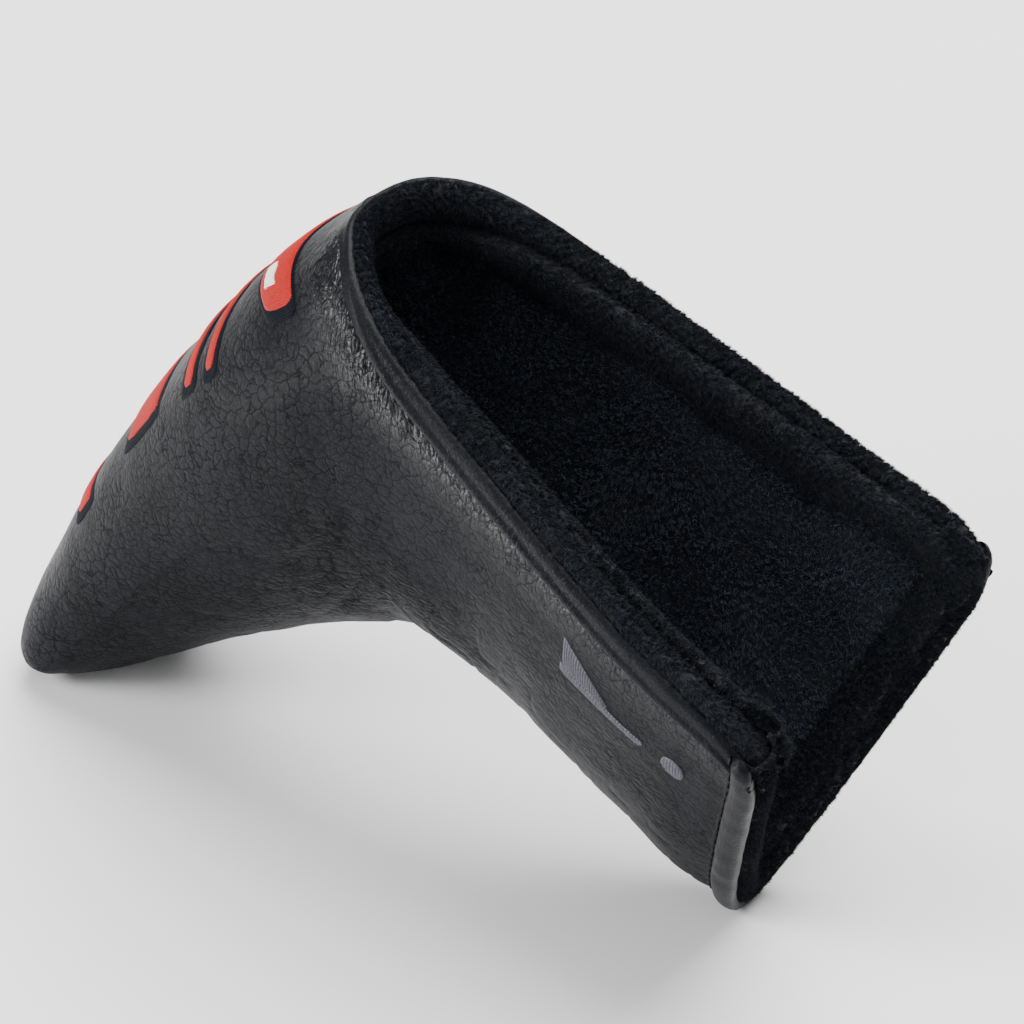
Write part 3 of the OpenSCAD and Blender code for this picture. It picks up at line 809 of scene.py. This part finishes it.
def roll(name, rim, mat):
    """The leather's edge along the rim: a low ridge, then a smooth turn down into the plush."""
    tight, wide = (rim.sweep(evenly(np.array(line, float), 30)) for line in (TIGHT, WIDE))
    share = toward_neck(rim.u)[:, None, None]
    grid = tight + (wide - tight) * share
    core = rim.sweep([(2.0, 2.2)])
    core = core + (rim.sweep([(3.2, 1.9)]) - core) * share
    mirror = grid * [1, SIDES[name], 1]
    wave = 0.1 * noise(mirror, 7, 7) + 0.04 * noise(mirror, 2.2, 8)
    return of_grid(f"edge_roll_{name}", grid + unit(grid - core) * wave[..., None], unit(grid - core), mat)


def hem(name, end, mat):
    """The leather binding round the neck end, rounded off at the rim's corner."""
    profile = [(5.4, 1.0), (5.0, 0.3), (4.5, -0.25), (3.8, -0.65), (2.8, -0.9), (1.8, -0.85), (0.9, -0.55),
               (0.25, -0.1), (0.0, 0.5), (0.1, 1.2), (0.5, 1.9), (1.4, 2.4)]
    line = evenly(np.array(profile, float), 30)
    grid = rounded(end, line, (2.2, 1.4), 3.0)
    core = end.sweep([(2.2, 1.4)])
    wave = 0.12 * noise(grid * [1, SIDES[name], 1], (5, 5, 3), 9)
    grid = grid + unit(grid - core) * wave[..., None]
    grid[..., 2] = np.maximum(grid[..., 2], 0)
    return of_grid(f"neck_hem_{name}", grid, unit(grid - core), mat)


# ---- plush ----


def binding(name, rim, mat):
    """Plush band that crowns the wall between the rolled edge and the lining."""
    tight, wide = (rounded(rim, evenly(np.array(line, float), 16), (1.5, 4.5), 2.5) for line in (
        [(1.4, 0.9), (0.4, 0.7), (-0.5, 1.2), (-1.1, 2.6), (-1.0, 4.6), (0.0, 6.1), (1.8, 6.7), (4.0, 6.8)],
        [(2.6, 2.3), (1.1, 2.4), (0.1, 2.8), (-0.5, 3.9), (-0.4, 5.1), (0.3, 6.1), (1.8, 6.7), (4.0, 6.8)]))
    grid = tight + (wide - tight) * toward_neck(rim.u)[:, None, None]
    ref = unit(grid - rim.sweep([(3.5, 4.5)]))
    return plush(f"rim_binding_{name}", outward(grid, ref), mat, 62, 0.95, 0.14, 11,
                 lean=0.85, clump=0.7, flow=(0.9, -0.3))


def lip(name, rim, mat):
    """The lining's own thick edge, inside the binding."""
    line = evenly(np.array([(4.2, 7.0), (2.3, 7.5), (1.5, 8.4), (1.7, 9.6), (2.9, 10.4), (5.2, 10.6),
                            (8.5, 9.9), (12.0, 8.7)], float), 16)
    grid = rounded(rim, line, (4.0, 8.5), 2.5)
    ref = unit(grid - rim.sweep([(5.0, 8.0)]))
    return plush(f"lining_lip_{name}", outward(grid, ref), mat, 44, 0.95, 0.15, 12,
                 lean=0.85, clump=0.7, flow=(0.6, 0.3))


def end_binding(name, end, mat):
    """Plush band at the neck end, behind the hem."""
    line = evenly(np.array([(2.4, 1.4), (0.9, 1.7), (0.2, 2.6), (0.0, 4.2), (0.4, 5.8), (1.6, 7.0),
                            (3.4, 7.4), (2.4, 8.3), (2.4, 9.4), (3.8, 10.3), (6.5, 9.9),
                            (10.0, 8.8)], float), 22)
    grid = end.sweep(line)
    side = SIDES[name]
    grid[..., 1] = side * np.maximum(side * grid[..., 1], 0)
    ref = unit(grid - end.sweep([(4.0, 5.0)]))
    return plush(f"end_binding_{name}", outward(grid, ref), mat, 46, 0.95, 0.15, 13,
                 lean=0.8, clump=0.7, flow=(0.5, 0))


def lining(name, rim, mat):
    """One side's plush lining, with slow uneven heights as its foam gives it."""
    side = SIDES[name]
    rows = rows_between(0.4, HEM - 0.1, 200)
    r = shares(rows, 110, rim, 5.0, IN_ALL)
    u = np.broadcast_to(rows[:, None], r.shape)
    grid = skin(u, r, IN_ALL, side)
    out = -out_of(u, r, side)
    bulge = 0.5 * noise(grid, 13, 21) + 0.25 * noise(grid, 5, 22)
    grid = grid + out * bulge[..., None]
    grid[..., 1] = side * np.maximum(side * grid[..., 1], 0)
    return plush(f"lining_{name}", outward(grid, out), mat, 16, 1.1, 0.22, 14,
                 lean=0.95, clump=0.7, flow=(0.4, 0.3))


def foam(name, rim, mat):
    """One side's foam, a closed pad that fills the space between leather and lining."""
    side = SIDES[name]
    rows = rows_between(0.3, HEM - 0.05, 90)
    r = shares(rows, 40, rim, 7.5)
    u = np.broadcast_to(rows[:, None], r.shape)
    face = skin(u, r, LEATHER + 0.1, side)
    inner = skin(u, r, IN_FOAM - 0.1, side)
    ni, nj = r.shape
    top = quads(ni, nj)
    low = quads(ni, nj, ni * nj)[:, ::-1]
    ring = list(range(nj)) + [i * nj + nj - 1 for i in range(1, ni)]
    ring += [ni * nj - 1 - j for j in range(1, nj)] + [i * nj for i in range(ni - 2, 0, -1)]
    ring, last = np.array(ring), np.roll(ring, 1)
    walls = np.stack([ring, last, last + ni * nj, ring + ni * nj], -1)
    points = np.vstack([face.reshape(-1, 3), inner.reshape(-1, 3)])
    piece = build(f"foam_{name}", points, [np.concatenate([top, low, walls])], mat)
    return piece


# ---- embroidery ----

# Bars of the sole: first and last section, slant, and share of the width that they reach down each side.
BARS = [
    (4.26, 4.7, 5.5, 0.1),
    (3.97, 4.07, 0.5, 0.13),
    (3.7, 3.8, 0.5, 0.125),
    (3, 3.38, 0.2, 0.1),
    (2.33, 2.5, 0.4, 0.115),
]
BORDER = 0.06


def patch(u1, u2, tilt, reach, low, high, pitch, n=(22, 420)):
    """Raised satin-stitch patch over the sole line: threads run across it, pitch millimetres apart."""
    x = np.linspace(0, 1, n[0])[:, None]
    j = np.linspace(-1, 1, 2 * n[1] + 1)[None]
    f = reach * j**2
    narrow = np.sqrt(1 - np.clip((np.abs(j) - 0.93) / 0.08, 0, 0.98) ** 2)
    mid = (u1 + u2) / 2 + tilt * f
    u = mid + (u2 - u1) * (x - 0.5) * narrow
    r = 1 - f + x * 0
    side = np.where(j + x * 0 < 0, -1, 1)
    base = skin(u, r, 0, 1)
    base[..., 1] *= side
    out = out_of(u, r, 1)
    out[..., 1] *= side
    run = run_of(base[n[0] // 2])
    threads = np.abs(np.sin(math.pi * run / pitch))[None]
    edge = np.sqrt(1 - np.abs(2 * x - 1) ** 5) * np.sqrt(1 - np.clip(np.abs(j), 0, 1) ** 60)
    jag = 0.12 * noise(base, 0.7, 31)
    h = low + (high - low) * edge * (0.72 + 0.28 * threads) + jag * 0.2
    return base + out * h[..., None], out


def sole_stitching(mats):
    """The red bars of the sole, each on a wider dark border."""
    pieces = []
    for k, (u1, u2, tilt, reach) in enumerate(BARS):
        for kind, grow, more, low, high in (("border", BORDER, 0.026, -0.2, 0.3), ("bar", 0, 0, 0.05, 0.55)):
            grid, out = patch(u1 - grow, u2 + grow, tilt, reach + more, low, high, 0.55)
            slot = "navy_thread" if kind == "border" else "red_thread"
            pieces.append(of_grid(f"sole_{kind}_{k + 1}", grid, out, mats[slot]))
    return pieces


def stitched(name, side, at, mat, high, pitch=0.62, n=(90, 14)):
    """Satin stitches over a field of the leather; at(x, y) gives section and share for x, y from 0 to 1."""
    x, y = np.meshgrid(np.linspace(0, 1, n[0]), np.linspace(0, 1, n[1]), indexing="ij")
    u, r = at(x, y)
    base, out = skin(u, r, 0, side), out_of(u, r, side)
    run = run_of(base[:, n[1] // 2])
    threads = np.abs(np.sin(math.pi * (run[:, None] + 0.5 * y) / pitch))
    edge = np.sqrt(np.clip(1 - np.abs(2 * y - 1) ** 4, 0, 1))
    edge = edge * np.sqrt(np.clip(1 - np.abs(2 * x - 1) ** 16, 0, 1))
    h = -0.25 + (high + 0.25) * edge * (0.55 + 0.45 * threads)
    return of_grid(name, base + out * (h + 0.04 * noise(base, 0.6, 41))[..., None], out, mat)


def accents(mat):
    """The small white strokes on the last sole bar, one on each side."""
    def at(x, y):
        r = 0.945 + 0.04 * x
        return 4.32 + 0.17 * y + 5.5 * (1 - r), r

    return [stitched(f"sole_accent_{name}", side, at, mat, 0.78)
            for name, side in SIDES.items()]


def flag_and_ball(mat):
    """Small grey flag and ball on the back flap."""
    def pole(x, y):
        return 7.82 + 0.52 * x, 0.653 + 0.026 * y

    def pennant(x, y):
        return 7.84 + 0.27 * x, 0.683 + (0.01 + 0.12 * (1 - x)) * y

    def ball(x, y):
        half = np.sqrt(np.clip(1 - (2 * x - 1) ** 2, 0.0004, 1))
        return 8.53 + 0.07 * (2 * x - 1), 0.685 + 0.036 * half * (2 * y - 1)

    fields = (("pole", pole, (240, 8)), ("pennant", pennant, (180, 30)), ("ball", ball, (80, 30)))
    return [stitched(f"mark_{key}", SIDES["back"], at, mat, 0.55, n=n)
            for key, at, n in fields]


# ---- small parts ----


def hem_stitches(name, end, mat):
    """Stitches that hold the hem, sunk in the groove beside it."""
    run = run_of(end.p)
    angle = np.linspace(0, 2 * math.pi, 9)[:-1]
    points, faces, first = [], [], 0
    for start in np.arange(1.0, run[-6], 3.3):
        at = np.linspace(start, start + 2.5, 8)
        k = np.interp(at, run, np.arange(len(run)))
        i = k.astype(int)
        f = (k - i)[:, None]
        p, n, d = ((v[i] * (1 - f) + v[i + 1] * f) for v in (end.p, end.n, end.d))
        dip = np.linspace(-1, 1, 8)[:, None] ** 2
        p = p + d * 5.5 + n * (0.35 + 0.5 * dip)
        ring = (np.cos(angle)[None, :, None] * d[:, None] + np.sin(angle)[None, :, None] * n[:, None]) * 0.32
        points.append((p[:, None] + ring).reshape(-1, 3))
        i, j = np.meshgrid(np.arange(7), np.arange(8), indexing="ij")
        a, b = first + i * 8 + j, first + i * 8 + (j + 1) % 8
        faces.append(np.stack([a, b, b + 8, a + 8], -1).reshape(-1, 4))
        first += 64
    return build(f"hem_stitches_{name}", soften(np.vstack(points)), faces, mat)


def magnets(name, mat):
    """Closure discs in the wall, with bevelled edges."""
    side = SIDES[name]
    profile = np.array([(0, -1), (6.5, -1), (6.85, -0.9), (7, -0.65),
                        (7, 0.65), (6.85, 0.9), (6.5, 1), (0, 1)])
    angle = np.linspace(0, 2 * math.pi, 49)[:-1]
    points, faces = [], []
    for k, (u, r) in enumerate(MAGNETS):
        spot_at = skin(u, r, (LEATHER + IN_FOAM) / 2, side)
        z = out_of(np.array(u), np.array(r), side)
        x = unit(np.cross(z, [0.3, 0.1, 1]))
        y = np.cross(z, x)
        ring = np.cos(angle)[:, None] * x + np.sin(angle)[:, None] * y
        points.append((spot_at + profile[:, None, :1] * ring + profile[:, None, 1:] * z).reshape(-1, 3))
        i, j = np.meshgrid(np.arange(7), np.arange(48), indexing="ij")
        a, b = k * 384 + i * 48 + j, k * 384 + i * 48 + (j + 1) % 48
        faces.append(np.stack([a, b, b + 48, a + 48], -1).reshape(-1, 4))
    return build(f"magnets_{name}", np.vstack(points), faces, mat)


# ---- everything together ----


def main():
    camera()
    studio()
    tone = (0.0066, 0.0069, 0.0090)
    hide = leather_material("leather", tone, 0.42, 0.075)
    edge = leather_material("edge_leather", tone, 0.34, 0.11, 0.5, 0.6)
    inside = plush_material("lining_plush", (0.005, 0.006, 0.009), (0.024, 0.029, 0.040), 0.45)
    band = plush_material("binding_plush", (0.003, 0.004, 0.006), (0.008, 0.010, 0.015), 0.18)
    threads = {
        "red_thread": thread_material("red_thread", (0.34, 0.004, 0.001)),
        "navy_thread": thread_material("navy_thread", (0.002, 0.003, 0.007), shine=0.05),
        "white_thread": thread_material("white_thread", (0.85, 0.84, 0.82)),
        "grey_thread": thread_material("grey_thread", (0.11, 0.106, 0.13)),
        "black_thread": thread_material("black_thread", (0.006, 0.006, 0.008)),
    }
    nickel = metal_material()
    padding = foam_material()
    for name, side in SIDES.items():
        rim, end = Rim(side), End(side)
        made = [leather(name, rim, hide), roll(name, rim, edge), hem(name, end, edge),
                binding(name, rim, band), lip(name, rim, band), end_binding(name, end, band),
                lining(name, rim, inside), foam(name, rim, padding),
                hem_stitches(name, end, threads["black_thread"]), magnets(name, nickel)]
        if name == "back":
            made += flag_and_ball(threads["grey_thread"])
        for piece in made:
            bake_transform(piece)
        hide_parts("cup_leather", f"{name}_leather")
        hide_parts("heel_roll", f"{name}_roll")
        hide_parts("fold_hem", f"{name}_hem")
        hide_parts("heel_band", f"{name}_band")
        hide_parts("fold_end_band", f"{name}_end_band")
        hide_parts("cup_lining", f"{name}_lining")
        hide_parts("cup_foam", f"{name}_foam")
        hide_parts("fold_hem_thread", f"{name}_hem_thread")
        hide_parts(f"{name}_magnets")
        for piece in made[10:]:
            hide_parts("back_mark")
    sewn = sole_stitching(threads) + accents(threads["white_thread"])
    for piece in sewn:
        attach(piece, "cup")
        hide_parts(f"sole_{piece.name.split('_')[1]}" + ("" if "accent" in piece.name else "s"))


main()
